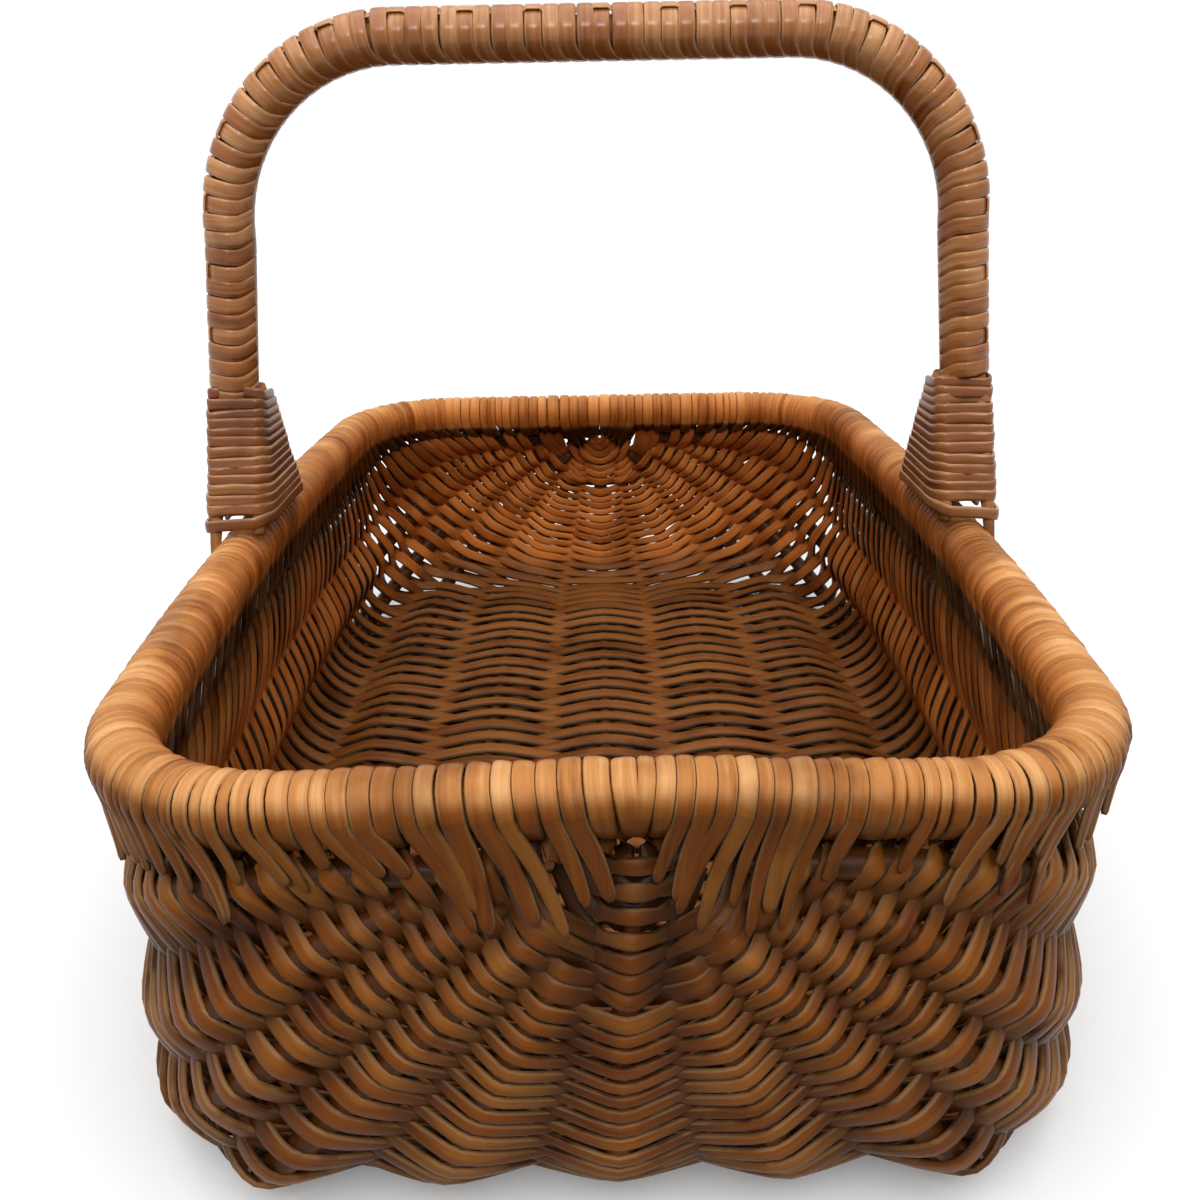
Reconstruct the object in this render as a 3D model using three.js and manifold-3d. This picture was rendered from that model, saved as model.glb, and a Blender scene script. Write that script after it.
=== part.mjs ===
// Splint basket: a rectangular market basket on a rib frame, woven from flat split canes,
// with a fixed bow handle lapped with the same splint.
// Millimetres, +Z up. X runs across the basket, Y along it, and the origin is the middle of
// the base, on the surface that the basket stands on.
import * as THREE from 'three'
import { mergeVertices } from 'three/addons/utils/BufferGeometryUtils.js'
import Module from 'manifold-3d'

// Rim, measured on the centre line of its rod
const rimSpan = 300
const rimLength = 480
const rimCornerRadius = 54
const rimSideBow = 12
const rimRodRadius = 8

// Ribs: eleven round rods that fan out from the middle of each end and run the whole length.
// Ribs 0 to 2 lie under the floor and 3 to 5 in each side wall
const ribRadius = 4.75
const ribTipRadius = 2.4
const ribTaperLength = 30
const floorRibStep = 57
const sideRibDrops = [122, 89, 46]
const sideRibFanPowers = [1.8, 2.2, 6]
const floorRibFanPower = 0.8
const ribTipStarts = [12, 36, 24, 36, 62, 30]
const shortestRibStep = 3

// Body
const bodyDepth = 128
const fanDrop = 18
const fanShift = 8
const fanShiftReach = 150
const fanStandOff = 4
const endBulge = 20
const endBulgeDrop = 60
const floorCornerRadius = 24

// Segments of a quarter of a rib or of the rim: across the end, round the corner, along the side
const endSegments = 4
const cornerSegments = 5
const sideSegments = 2
const pointsPerSegment = 8

// Woven courses: each stands for a few rows of splint that go over one rib and under the next
const courseCount = 15
const splintThickness = 2.4
const floatFlat = 8
const courseGapShare = 0.0042
const chordAllowance = 0.75
const fanPlateShare = 0.2
const fanPlateStart = 9
const fanPlateWall = 1.8
const denseRowShare = 0.62
const denseRowEnd = 0.5
const openRowStart = 0.65
const rowSharePower = 1.3

// Handle
const handleSpan = 313
const handleRise = 211
const handleBendRadius = 76
const handleSplay = 15
const handleRodRadius = 7
const handleRodGap = 0.5
const leaderWidth = 4
const leaderThickness = 0.9
const leaderAngle = 40
const lappingLoops = 24
const lappingSteps = 12
const lappingThickness = 1.1
const lappingGap = 0.9
const lappingStart = 78

// Stakes that carry each foot of the handle, two outside the rim and two inside it
const stakeRadius = 3
const stakeTop = 75
const stakeTopHalfPitch = 4
const stakeFootHalfPitch = 40
const stakeTail = 28
const innerStakeTail = 6
const footLoops = 7
const footStepsPerLoop = 8
const footSplintWidth = 6.6
const footSplintThickness = 1.8
const footCornerReach = 1.14
const footCornerShare = 1 / 3

const clearance = 0.3

// Values that follow from the sizes above
const ribFloat = ribRadius + clearance + chordAllowance + splintThickness / 2
const floatReach = ribFloat + splintThickness / 2
const rimHeight = bodyDepth + floatReach
const octagonFlat = Math.cos(Math.PI / 8)
const rimWrapRadius = (rimRodRadius + clearance + chordAllowance + splintThickness / 2) / octagonFlat
const rimReach = rimWrapRadius + splintThickness / 2
const halfSpan = rimSpan / 2
const halfLength = rimLength / 2
const floorRibs = 2
const rimIndex = 6
const outerRib = rimIndex - 1

const canes = {
  rod: { color: 0x9a6232, roughness: 0.6, metalness: 0 },
  splint: { color: 0xa96a35, roughness: 0.55, metalness: 0 },
  lapping: { color: 0xb87a42, roughness: 0.45, metalness: 0 }
}

const basket = new THREE.Group()

function addPiece(name, geometry, finish) {
  const material = new THREE.MeshStandardMaterial(canes[finish])
  const mesh = new THREE.Mesh(geometry, material)
  mesh.name = name
  basket.add(mesh)
}

// A solid skinned over rings of points. Each ring holds an even number of points, and a ring's
// first and last points lie opposite each other, so an end is closed by a strip of quads
function skin(rings, closed = false) {
  const count = rings[0].length
  const positions = []
  const faces = []
  for (const ring of rings) for (const p of ring) positions.push(p.x, p.y, p.z)
  const spans = closed ? rings.length : rings.length - 1
  for (let r = 0; r < spans; r++) {
    const next = (r + 1) % rings.length
    for (let k = 0; k < count; k++) {
      const far = (k + 1) % count
      const a = r * count + k
      const b = r * count + far
      const c = next * count + far
      const d = next * count + k
      const straight = rings[r][k].distanceTo(rings[next][far]) < rings[r][far].distanceTo(rings[next][k])
      if (straight) faces.push(a, b, c, a, c, d)
      else faces.push(a, b, d, b, c, d)
    }
  }
  if (!closed) {
    const last = (rings.length - 1) * count
    for (let k = 0; k < count / 2 - 1; k++) {
      const far = count - 1 - k
      faces.push(k, far, k + 1, k + 1, far, far - 1)
      faces.push(last + k, last + k + 1, last + far, last + k + 1, last + far - 1, last + far)
    }
  }
  return outwardGeometry(positions, faces)
}

function outwardGeometry(positions, faces) {
  let volume = 0
  const at = (i) => new THREE.Vector3().fromArray(positions, i * 3)
  for (let f = 0; f < faces.length; f += 3) {
    volume += at(faces[f]).dot(at(faces[f + 1]).cross(at(faces[f + 2])))
  }
  const indices = faces.slice()
  if (volume < 0) {
    for (let f = 0; f < indices.length; f += 3) {
      indices[f + 1] = faces[f + 2]
      indices[f + 2] = faces[f + 1]
    }
  }
  const geometry = new THREE.BufferGeometry()
  geometry.setAttribute('position', new THREE.Float32BufferAttribute(positions, 3))
  geometry.setIndex(indices)
  geometry.computeVertexNormals()
  return geometry
}

// A round rod along points, with a radius for each point
function rod(points, radii, sides, closed = false) {
  const rings = []
  let side = null
  for (let n = 0; n < points.length; n++) {
    const before = closed ? points.at(n - 1) : points[Math.max(n - 1, 0)]
    const after = closed ? points[(n + 1) % points.length] : points[Math.min(n + 1, points.length - 1)]
    const along = after.clone().sub(before).normalize()
    if (!side) side = Math.abs(along.z) < 0.9 ? new THREE.Vector3(0, 0, 1) : new THREE.Vector3(1, 0, 0)
    side = side.clone().addScaledVector(along, -side.dot(along)).normalize()
    const across = along.clone().cross(side)
    const ring = []
    for (let k = 0; k < sides; k++) {
      const angle = (k + 0.5) / sides * 2 * Math.PI
      const spoke = side.clone().multiplyScalar(Math.cos(angle)).addScaledVector(across, Math.sin(angle))
      ring.push(points[n].clone().addScaledVector(spoke, radii[n]))
    }
    rings.push(ring)
  }
  return skin(rings, closed)
}

// Half of a rib or of the rim, from the middle of the end round to the middle of the side
function bulgeAt(z) {
  const drop = THREE.MathUtils.clamp((-fanDrop - z) / endBulgeDrop, 0, 1)
  return fanStandOff + (endBulge - fanStandOff) * Math.sin(drop * Math.PI / 2)
}

function sidePath(rib, steps) {
  const isRim = rib === rimIndex
  const drop = isRim ? 0 : sideRibDrops[rib - 3]
  const power = isRim ? 1 : sideRibFanPowers[rib - 3]
  const top = isRim ? 0 : fanDrop
  const points = []
  const straight = halfSpan - rimCornerRadius
  const push = (x, y, facing) => {
    const z = -top - (drop - top) * Math.min(1, x / halfSpan) ** power
    const bulge = isRim ? 0 : bulgeAt(z) * facing
    points.push(new THREE.Vector3(x, y - bulge, z))
  }
  const endSteps = endSegments * steps
  const cornerSteps = cornerSegments * steps
  const sideSteps = sideSegments * steps
  for (let n = 0; n < endSteps; n++) push(straight * n / endSteps, -halfLength, 1)
  for (let n = 0; n < cornerSteps; n++) {
    const angle = n / cornerSteps * Math.PI / 2
    const x = straight + rimCornerRadius * Math.sin(angle)
    push(x, -halfLength + rimCornerRadius * (1 - Math.cos(angle)), Math.cos(angle))
  }
  const sideStart = -halfLength + rimCornerRadius
  for (let n = 0; n <= sideSteps; n++) push(halfSpan, sideStart * (1 - n / sideSteps), 0)
  return points
}

function floorPath(rib, steps) {
  const points = []
  const reach = floorRibStep * rib
  const bottomEdge = bodyDepth - floorCornerRadius
  const push = (y, z) => {
    const share = Math.max(0, -fanDrop - z) / (bodyDepth - fanDrop)
    points.push(new THREE.Vector3(reach * share ** floorRibFanPower, y, z))
  }
  const endSteps = endSegments * steps
  const sideSteps = sideSegments * steps
  for (let n = 0; n < endSteps; n++) {
    const z = -fanDrop - (bottomEdge - fanDrop) * n / endSteps
    push(-halfLength - bulgeAt(z), z)
  }
  const cornerY = -halfLength - endBulge + floorCornerRadius
  for (let n = 0; n < endSteps; n++) {
    const angle = n / endSteps * Math.PI / 2
    push(cornerY - floorCornerRadius * Math.cos(angle), -bottomEdge - floorCornerRadius * Math.sin(angle))
  }
  for (let n = 0; n <= sideSteps; n++) push(cornerY * (1 - n / sideSteps), -bodyDepth)
  return points
}

function lengthsOf(points) {
  const lengths = [0]
  for (let n = 1; n < points.length; n++) lengths.push(lengths[n - 1] + points[n].distanceTo(points[n - 1]))
  return lengths
}

const fanShifts = (length) => fanShift * Math.max(0, 1 - length / fanShiftReach) ** 2
const halfPaths = []
for (let rib = 0; rib <= rimIndex; rib++) {
  const points = rib <= floorRibs ? floorPath(rib, pointsPerSegment) : sidePath(rib, pointsPerSegment)
  for (const p of points) {
    const bow = rimSideBow / halfSpan * Math.max(0, 1 - (p.y / halfLength) ** 2)
    p.x *= 1 + bow
    p.z += rimHeight
  }
  halfPaths.push({ points, lengths: lengthsOf(points) })
}

function pointOnHalf(rib, length) {
  const { points, lengths } = halfPaths[Math.abs(rib)]
  let n = 1
  while (n < points.length - 1 && lengths[n] < length) n++
  const share = (length - lengths[n - 1]) / (lengths[n] - lengths[n - 1])
  const point = points[n - 1].clone().lerp(points[n], THREE.MathUtils.clamp(share, 0, 1))
  if (rib < 0) point.x = -point.x
  return point
}

// Rows lie close together on the end walls and open out along the floor. This gives how far
// along a rib a row lies, as a share of its half, for a row's own share of the half
function rowShare(rib, share) {
  const dense = denseRowShare + (1 - denseRowShare) * (Math.abs(rib) / rimIndex) ** rowSharePower
  const ramp = openRowStart - denseRowEnd
  const open = (1 - dense * (denseRowEnd + ramp / 2)) / (1 - openRowStart + ramp / 2)
  const inDense = Math.min(share, denseRowEnd) * dense
  const inRamp = THREE.MathUtils.clamp(share - denseRowEnd, 0, ramp)
  const ramped = inRamp * dense + inRamp ** 2 / (2 * ramp) * (open - dense)
  return inDense + ramped + Math.max(0, share - openRowStart) * open
}

// A point on a rib, or on the rim where rib is 6 or -6. The place runs from 0 at the front end
// to 2 at the back end
function railPoint(rib, place) {
  const share = place > 1 ? 2 - place : place
  const length = rowShare(rib, Math.max(0, share)) * halfPaths[Math.abs(rib)].lengths.at(-1)
  const point = pointOnHalf(rib, length)
  if (place <= 1) point.x += fanShifts(length)
  if (place > 1) point.y = -point.y
  return point
}

// Frame at a point of a rib: along the rib, along the row towards the next rib, and outwards
function railFrame(rib, place) {
  const step = 0.004
  const point = railPoint(rib, place)
  const reach = Math.abs(rib) <= floorRibs ? floorRibs : rimIndex
  const lower = Math.max(rib - 1, -reach)
  const upper = Math.min(rib + 1, reach)
  const row = railPoint(upper, place).sub(railPoint(lower, place)).normalize()
  const along = railPoint(rib, Math.min(place + step, 2)).sub(railPoint(rib, Math.max(place - step, 0)))
  along.normalize()
  const out = along.clone().cross(row).normalize()
  const square = out.clone().cross(along)
  return { point, row, out, square }
}

// The ribs
function ribStations(rib) {
  const { points, lengths } = halfPaths[Math.abs(rib)]
  const tip = ribTipStarts[Math.abs(rib)]
  const stations = [{ length: tip, point: pointOnHalf(rib, tip) }]
  for (let n = pointsPerSegment; n < points.length; n += pointsPerSegment) {
    const length = lengths[n]
    if (length > tip + shortestRibStep) stations.push({ length, point: pointOnHalf(rib, length) })
  }
  return stations
}

function ribRadiusAt(rib, length) {
  const share = Math.min(1, (length - ribTipStarts[Math.abs(rib)]) / ribTaperLength)
  return ribTipRadius + (ribRadius - ribTipRadius) * share
}

function ribGeometry(rib, extra = 0) {
  const half = ribStations(rib)
  const points = []
  const radii = []
  for (const station of half) {
    const point = station.point.clone()
    point.x += fanShifts(station.length)
    points.push(point)
    radii.push(ribRadiusAt(rib, station.length) + extra)
  }
  for (const station of half.slice(0, -1).reverse()) {
    points.push(station.point.clone().setY(-station.point.y))
    radii.push(ribRadiusAt(rib, station.length) + extra)
  }
  if (extra > 0) {
    points[0].addScaledVector(points[1].clone().sub(points[0]).normalize(), -extra)
    points[points.length - 1].addScaledVector(points.at(-2).clone().sub(points.at(-1)).normalize(), -extra)
  }
  return rod(points, radii, 6)
}

const ribName = (rib) => rib === 0 ? 'rib_middle' : `rib_${rib < 0 ? 'left' : 'right'}_${Math.abs(rib)}`
for (let rib = -outerRib; rib <= outerRib; rib++) addPiece(ribName(rib), ribGeometry(rib), 'rod')

// The rim, one rod bent into a closed hoop
function rimPoints() {
  const half = halfPaths[rimIndex].points.filter((point, n) => n % pointsPerSegment === 0)
  const quarter = half.slice(0, -1)
  const loop = []
  const corners = [[1, 1], [1, -1], [-1, -1], [-1, 1]]
  for (const [sx, sy] of corners) {
    const placed = half.map((p) => new THREE.Vector3(p.x * sx, p.y * sy, p.z))
    if (sx * sy > 0) loop.push(...placed.slice(0, quarter.length))
    else loop.push(...placed.reverse().slice(0, quarter.length))
  }
  return loop
}

const rimLoop = rimPoints()
addPiece('rim_hoop', rod(rimLoop, rimLoop.map(() => rimRodRadius), 8, true), 'rod')

// A woven course between two places along the basket. It wraps the rim on one side, goes
// outside one rib and inside the next, and wraps the rim on the other side
const wrapAngles = [-45, 0, 45, 90, 135, 180, 225].map(THREE.MathUtils.degToRad)

function courseRow(course, place) {
  const stations = []
  const wrap = (rib, towardsRim) => wrapAngles.map((angle) => {
    const { point, out, square } = railFrame(rib, place)
    const spoke = out.clone().multiplyScalar(Math.cos(angle))
    spoke.addScaledVector(square, Math.sin(angle) * towardsRim)
    return { point: point.clone().addScaledVector(spoke, rimWrapRadius), face: spoke }
  })
  stations.push(...wrap(-rimIndex, -1).reverse())
  for (let rib = -outerRib; rib <= outerRib; rib++) {
    const { point, row, out } = railFrame(rib, place)
    const side = (rib + course) % 2 === 0 ? 1 : -1
    for (const end of [-0.5, 0.5]) {
      const spot = point.clone().addScaledVector(out, side * ribFloat).addScaledVector(row, end * floatFlat)
      stations.push({ point: spot, face: out })
    }
  }
  stations.push(...wrap(rimIndex, 1))
  return stations
}

function largestSag(from, to) {
  let sag = 0
  for (let rib = 0; rib <= rimIndex; rib++) {
    const a = railPoint(rib, from)
    const b = railPoint(rib, to)
    const middle = railPoint(rib, (from + to) / 2)
    const chord = b.clone().sub(a)
    const away = middle.sub(a).cross(chord).length() / chord.length()
    sag = Math.max(sag, away / 4)
  }
  return sag
}

function courseGeometry(course, from, to) {
  const strips = largestSag(from, to) > chordAllowance - clearance ? 4 : 2
  const rows = []
  for (let n = 0; n <= strips; n++) rows.push(courseRow(course, from + (to - from) * n / strips))
  const rings = rows[0].map((unused, k) => {
    const outer = rows.map((row) => row[k].point.clone().addScaledVector(row[k].face, splintThickness / 2))
    const inner = rows.map((row) => row[k].point.clone().addScaledVector(row[k].face, -splintThickness / 2))
    return [...outer, ...inner.reverse()]
  })
  return skin(rings)
}

const coursePlace = (n) => fanPlateShare + (2 - 2 * fanPlateShare) * n / courseCount
for (let course = 0; course < courseCount; course++) {
  const from = coursePlace(course) + courseGapShare
  const to = coursePlace(course + 1) - courseGapShare
  const name = `woven_course_${String(course + 1).padStart(2, '0')}`
  addPiece(name, courseGeometry(course, from, to), 'splint')
}

// The fan at each end, where the rows lie so tight that they hold the rib ends like a socket
const wasm = await Module()
wasm.setup()

function toSolid(geometry) {
  const bare = geometry.clone()
  bare.deleteAttribute('normal')
  const merged = mergeVertices(bare)
  const vertProperties = new Float32Array(merged.attributes.position.array)
  const triVerts = new Uint32Array(merged.index.array)
  return new wasm.Manifold(new wasm.Mesh({ numProp: 3, vertProperties, triVerts }))
}

function toGeometry(solid) {
  const mesh = solid.getMesh()
  const geometry = new THREE.BufferGeometry()
  geometry.setAttribute('position', new THREE.Float32BufferAttribute(mesh.vertProperties, 3))
  geometry.setIndex(new THREE.Uint32BufferAttribute(mesh.triVerts, 1))
  geometry.computeVertexNormals()
  return geometry
}

function fanPlate(atBack) {
  const halfThickness = ribRadius + clearance + fanPlateWall
  const strips = 4
  const rings = []
  for (let rib = -outerRib; rib <= outerRib; rib++) {
    const startShare = fanPlateStart / halfPaths[Math.abs(rib)].lengths.at(-1) / rowShare(rib, 1)
    const outer = []
    const inner = []
    for (let n = 0; n <= strips; n++) {
      const share = startShare + (fanPlateShare - courseGapShare - startShare) * n / strips
      const { point, out } = railFrame(rib, atBack ? 2 - share : share)
      outer.push(point.clone().addScaledVector(out, halfThickness))
      inner.push(point.clone().addScaledVector(out, -halfThickness))
    }
    rings.push([...outer, ...inner.reverse()])
  }
  let plate = toSolid(skin(rings))
  for (let rib = -outerRib; rib <= outerRib; rib++) {
    plate = plate.subtract(toSolid(ribGeometry(rib, clearance)))
  }
  return toGeometry(plate)
}

addPiece('fan_binding_front', fanPlate(false), 'splint')
addPiece('fan_binding_back', fanPlate(true), 'splint')

// The wraps on the rim above each fan, a sleeve of splint between the first and last courses
function rimSleeve(atBack) {
  const reach = fanPlateShare - courseGapShare
  const bore = (rimRodRadius + clearance) / octagonFlat
  const stations = 6
  const sides = 8
  const positions = []
  const faces = []
  for (let n = -stations; n <= stations; n++) {
    const share = Math.abs(n) / stations * reach
    const side = n < 0 ? -1 : 1
    const { point, out, square } = railFrame(side * rimIndex, atBack ? 2 - share : share)
    for (const radius of [rimReach, bore]) {
      for (let k = 0; k < sides; k++) {
        const angle = k / sides * 2 * Math.PI
        const spoke = out.clone().multiplyScalar(Math.cos(angle))
        spoke.addScaledVector(square, Math.sin(angle) * side)
        const spot = point.clone().addScaledVector(spoke, radius)
        positions.push(spot.x, spot.y, spot.z)
      }
    }
  }
  const ring = 2 * sides
  const quad = (a, b, c, d) => faces.push(a, b, c, a, c, d)
  for (let r = 0; r < 2 * stations; r++) {
    for (let k = 0; k < sides; k++) {
      const next = (k + 1) % sides
      const near = r * ring
      const far = near + ring
      quad(near + k, near + next, far + next, far + k)
      quad(near + sides + next, near + sides + k, far + sides + k, far + sides + next)
    }
  }
  const last = 2 * stations * ring
  for (let k = 0; k < sides; k++) {
    const next = (k + 1) % sides
    quad(next, k, sides + k, sides + next)
    quad(last + k, last + next, last + sides + next, last + sides + k)
  }
  return outwardGeometry(positions, faces)
}

addPiece('rim_lashing_front', rimSleeve(false), 'lapping')
addPiece('rim_lashing_back', rimSleeve(true), 'lapping')

// The handle bow, one rod from rim to rim: legs that splay a little, two bends and a flat top
const handleHalf = handleSpan / 2
const rimSideX = halfSpan + rimSideBow
const legBottom = rimHeight + rimReach + handleRodGap
const bendStart = rimHeight + handleRise - handleBendRadius
const legX = (z) => handleHalf + handleSplay * Math.max(0, bendStart - z) / (bendStart - rimHeight)

function bowPoints(from, legSteps, bendSteps) {
  const points = []
  for (let n = 0; n < legSteps; n++) {
    const z = from + (bendStart - from) * n / legSteps
    points.push(new THREE.Vector3(legX(z), 0, z))
  }
  for (let n = 0; n <= bendSteps; n++) {
    const angle = n / bendSteps * Math.PI / 2
    const x = handleHalf - handleBendRadius * (1 - Math.cos(angle))
    points.push(new THREE.Vector3(x, 0, bendStart + handleBendRadius * Math.sin(angle)))
  }
  const left = points.map((p) => new THREE.Vector3(-p.x, 0, p.z)).reverse()
  return [...points, ...left]
}

const bowPath = bowPoints(legBottom, 4, 8)
addPiece('handle_bow', rod(bowPath, bowPath.map(() => handleRodRadius), 8), 'rod')

// Frame along the lapped part of the bow: the tangent, the outer side of the bow, and Y
const lappedPath = bowPoints(rimHeight + lappingStart, 8, 48)
const lappedLengths = lengthsOf(lappedPath)
const lappedLength = lappedLengths.at(-1)
const smoothBow = new THREE.CurvePath()
for (let n = 1; n < lappedPath.length; n++) {
  smoothBow.add(new THREE.LineCurve3(lappedPath[n - 1], lappedPath[n]))
}

function bowFrame(length) {
  const reach = 3
  const at = (l) => smoothBow.getPointAt(THREE.MathUtils.clamp(l / lappedLength, 0, 1))
  const point = at(length)
  const along = at(length + reach).sub(at(length - reach)).normalize()
  const across = new THREE.Vector3(0, 1, 0)
  const out = across.clone().cross(along).multiplyScalar(-1)
  if (out.dot(point.clone().sub(new THREE.Vector3(0, 0, rimHeight))) < 0) out.negate()
  return { point, out, across }
}

const leaderBase = handleRodRadius + clearance
const leaderReach = Math.hypot(leaderBase + leaderThickness, leaderWidth / 2)
const lappingPitch = lappedLength / lappingLoops
const lappingSag = lappingPitch ** 2 / (8 * (handleBendRadius + handleRodRadius))
const lappingInner = (leaderReach + clearance + lappingSag) / Math.cos(Math.PI / lappingSteps)
const lappingOuter = lappingInner + lappingThickness

function leaderGeometry() {
  const rings = []
  const steps = 56
  const tilt = THREE.MathUtils.degToRad(leaderAngle)
  for (let n = 0; n <= steps; n++) {
    const { point, out, across } = bowFrame(lappedLength * n / steps)
    const up = out.clone().multiplyScalar(Math.cos(tilt)).addScaledVector(across, -Math.sin(tilt))
    const side = out.clone().multiplyScalar(Math.sin(tilt)).addScaledVector(across, Math.cos(tilt))
    const corner = (s, r) => point.clone().addScaledVector(side, s * leaderWidth / 2).addScaledVector(up, r)
    const top = leaderBase + leaderThickness
    rings.push([corner(-1, leaderBase), corner(1, leaderBase), corner(1, top), corner(-1, top)])
  }
  return skin(rings)
}

addPiece('handle_leader', leaderGeometry(), 'splint')

// The lapping, one splint wound along the bow
function leastGapBetweenTurns(rings, stepsPerTurn) {
  let least = Infinity
  const halfTurn = Math.floor(stepsPerTurn / 2)
  for (let a = 0; a < rings.length; a++) {
    for (let b = a + halfTurn + 1; b < Math.min(rings.length, a + 2 * stepsPerTurn); b++) {
      for (const p of rings[a]) for (const q of rings[b]) least = Math.min(least, p.distanceTo(q))
    }
  }
  return least
}

function lappingRings() {
  const width = lappingPitch - lappingGap
  const rings = []
  const steps = (lappingLoops - 1) * lappingSteps
  for (let n = 0; n <= steps; n++) {
    const middle = lappingPitch * (0.5 + n / lappingSteps)
    const angle = n / lappingSteps * 2 * Math.PI
    const corner = (side, radius) => {
      const { point, out, across } = bowFrame(middle + side * width / 2)
      point.addScaledVector(out, Math.cos(angle) * radius)
      return point.addScaledVector(across, Math.sin(angle) * radius)
    }
    const outerEdge = [corner(-1, lappingOuter), corner(1, lappingOuter)]
    const innerEdge = [corner(1, lappingInner), corner(-1, lappingInner)]
    rings.push([...outerEdge, ...innerEdge])
  }
  return rings
}

const handleLapping = lappingRings()
console.log('least gap of the handle lapping to itself, mm:',
  leastGapBetweenTurns(handleLapping, lappingSteps).toFixed(2))
addPiece('handle_lapping', skin(handleLapping), 'lapping')

// The stakes and the splint wound round them at each foot of the handle
const stakeOffRim = rimReach + clearance + stakeRadius + clearance
const stakeOffLeg = handleRodRadius + clearance - stakeRadius
const outerStakeX = Math.max(rimSideX + stakeOffRim, legX(rimHeight) + stakeOffLeg)
const innerStakeX = Math.min(rimSideX - stakeOffRim, legX(rimHeight) - stakeOffLeg)
const stakeTopSpacing = handleRodRadius + clearance + stakeRadius
const stakeTopReach = Math.sqrt(stakeTopSpacing ** 2 - stakeTopHalfPitch ** 2)

function stakePoint(isOuter, z) {
  const share = THREE.MathUtils.clamp((rimHeight + stakeTop - z) / stakeTop, 0, 1)
  const legHere = legX(rimHeight + stakeTop)
  const topX = isOuter ? legHere + stakeTopReach : legHere - stakeTopReach
  const footX = isOuter ? outerStakeX : innerStakeX
  const x = topX + (footX - topX) * share
  return new THREE.Vector3(x, stakeTopHalfPitch + (stakeFootHalfPitch - stakeTopHalfPitch) * share, z)
}

function footLapping(side) {
  const rings = []
  const low = rimHeight + rimReach + clearance + footSplintWidth / 2
  const high = rimHeight + stakeTop - footSplintWidth / 2
  const standOff = (stakeRadius + clearance + footSplintThickness / 2) * footCornerReach
  const steps = footLoops * footStepsPerLoop
  for (let n = 0; n <= steps; n++) {
    const z = low + (high - low) * n / steps
    const corner = Math.floor(n / 2) % 4
    const second = n % 2
    const [signX, signY] = [[1, 1], [-1, 1], [-1, -1], [1, -1]][corner]
    const alongX = (corner % 2 === 0) === (second === 1)
    const spot = (reach, dz) => {
      const outerStake = stakePoint(true, z + dz)
      const innerStake = stakePoint(false, z + dz)
      const middle = (outerStake.x + innerStake.x) / 2
      const halfX = (outerStake.x - innerStake.x) / 2
      const x = middle + signX * (halfX + (alongX ? reach * footCornerShare : reach))
      const y = signY * (outerStake.y + (alongX ? reach : reach * footCornerShare))
      return new THREE.Vector3(x * side, y, z + dz)
    }
    const out = standOff + footSplintThickness / 2
    const inn = standOff - footSplintThickness / 2
    const half = footSplintWidth / 2
    rings.push([spot(out, -half), spot(out, half), spot(inn, half), spot(inn, -half)])
  }
  return rings
}

for (const [side, name] of [[-1, 'left'], [1, 'right']]) {
  for (const [isOuter, place] of [[true, 'outer'], [false, 'inner']]) {
    for (const [end, where] of [[-1, 'front'], [1, 'back']]) {
      const tail = isOuter ? stakeTail : innerStakeTail
      const heights = [rimHeight + stakeTop, rimHeight, rimHeight - tail]
      const points = heights.map((z) => {
        const p = stakePoint(isOuter, z)
        return new THREE.Vector3(p.x * side, p.y * end, p.z)
      })
      addPiece(`stake_${name}_${place}_${where}`, rod(points, points.map(() => stakeRadius), 6), 'rod')
    }
  }
  const rings = footLapping(side)
  console.log(`least gap of the ${name} foot winding to itself, mm:`,
    leastGapBetweenTurns(rings, footStepsPerLoop).toFixed(2))
  addPiece(`foot_winding_${name}`, skin(rings), 'splint')
}

export default basket
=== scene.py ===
# Splint basket: an oblong basket of half-round splints woven over round ribs, with a splint-wound
# rim and a fixed bow handle. Its sizes are in millimetres, and become metres as a mesh is laid.

import math

import bmesh
import bpy
import numpy as np
from mathutils import Matrix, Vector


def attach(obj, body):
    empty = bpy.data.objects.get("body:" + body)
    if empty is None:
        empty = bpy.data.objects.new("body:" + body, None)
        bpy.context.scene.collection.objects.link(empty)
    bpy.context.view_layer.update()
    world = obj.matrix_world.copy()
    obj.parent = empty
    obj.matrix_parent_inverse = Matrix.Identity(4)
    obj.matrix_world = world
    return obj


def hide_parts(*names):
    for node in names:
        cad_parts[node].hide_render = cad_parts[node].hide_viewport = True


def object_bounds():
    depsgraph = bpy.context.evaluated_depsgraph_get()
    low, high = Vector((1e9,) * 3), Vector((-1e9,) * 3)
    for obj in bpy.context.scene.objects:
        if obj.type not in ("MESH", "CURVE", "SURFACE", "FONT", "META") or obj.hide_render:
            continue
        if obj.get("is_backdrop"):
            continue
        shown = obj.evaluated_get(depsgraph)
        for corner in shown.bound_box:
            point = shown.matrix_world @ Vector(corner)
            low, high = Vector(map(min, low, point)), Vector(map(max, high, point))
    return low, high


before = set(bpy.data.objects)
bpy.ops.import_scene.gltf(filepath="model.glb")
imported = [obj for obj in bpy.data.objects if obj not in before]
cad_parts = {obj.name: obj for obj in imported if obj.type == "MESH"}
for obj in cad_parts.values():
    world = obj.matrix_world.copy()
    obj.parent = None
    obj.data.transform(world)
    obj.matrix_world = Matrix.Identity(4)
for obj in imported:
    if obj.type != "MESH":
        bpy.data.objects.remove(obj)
cad_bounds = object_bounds()


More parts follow.
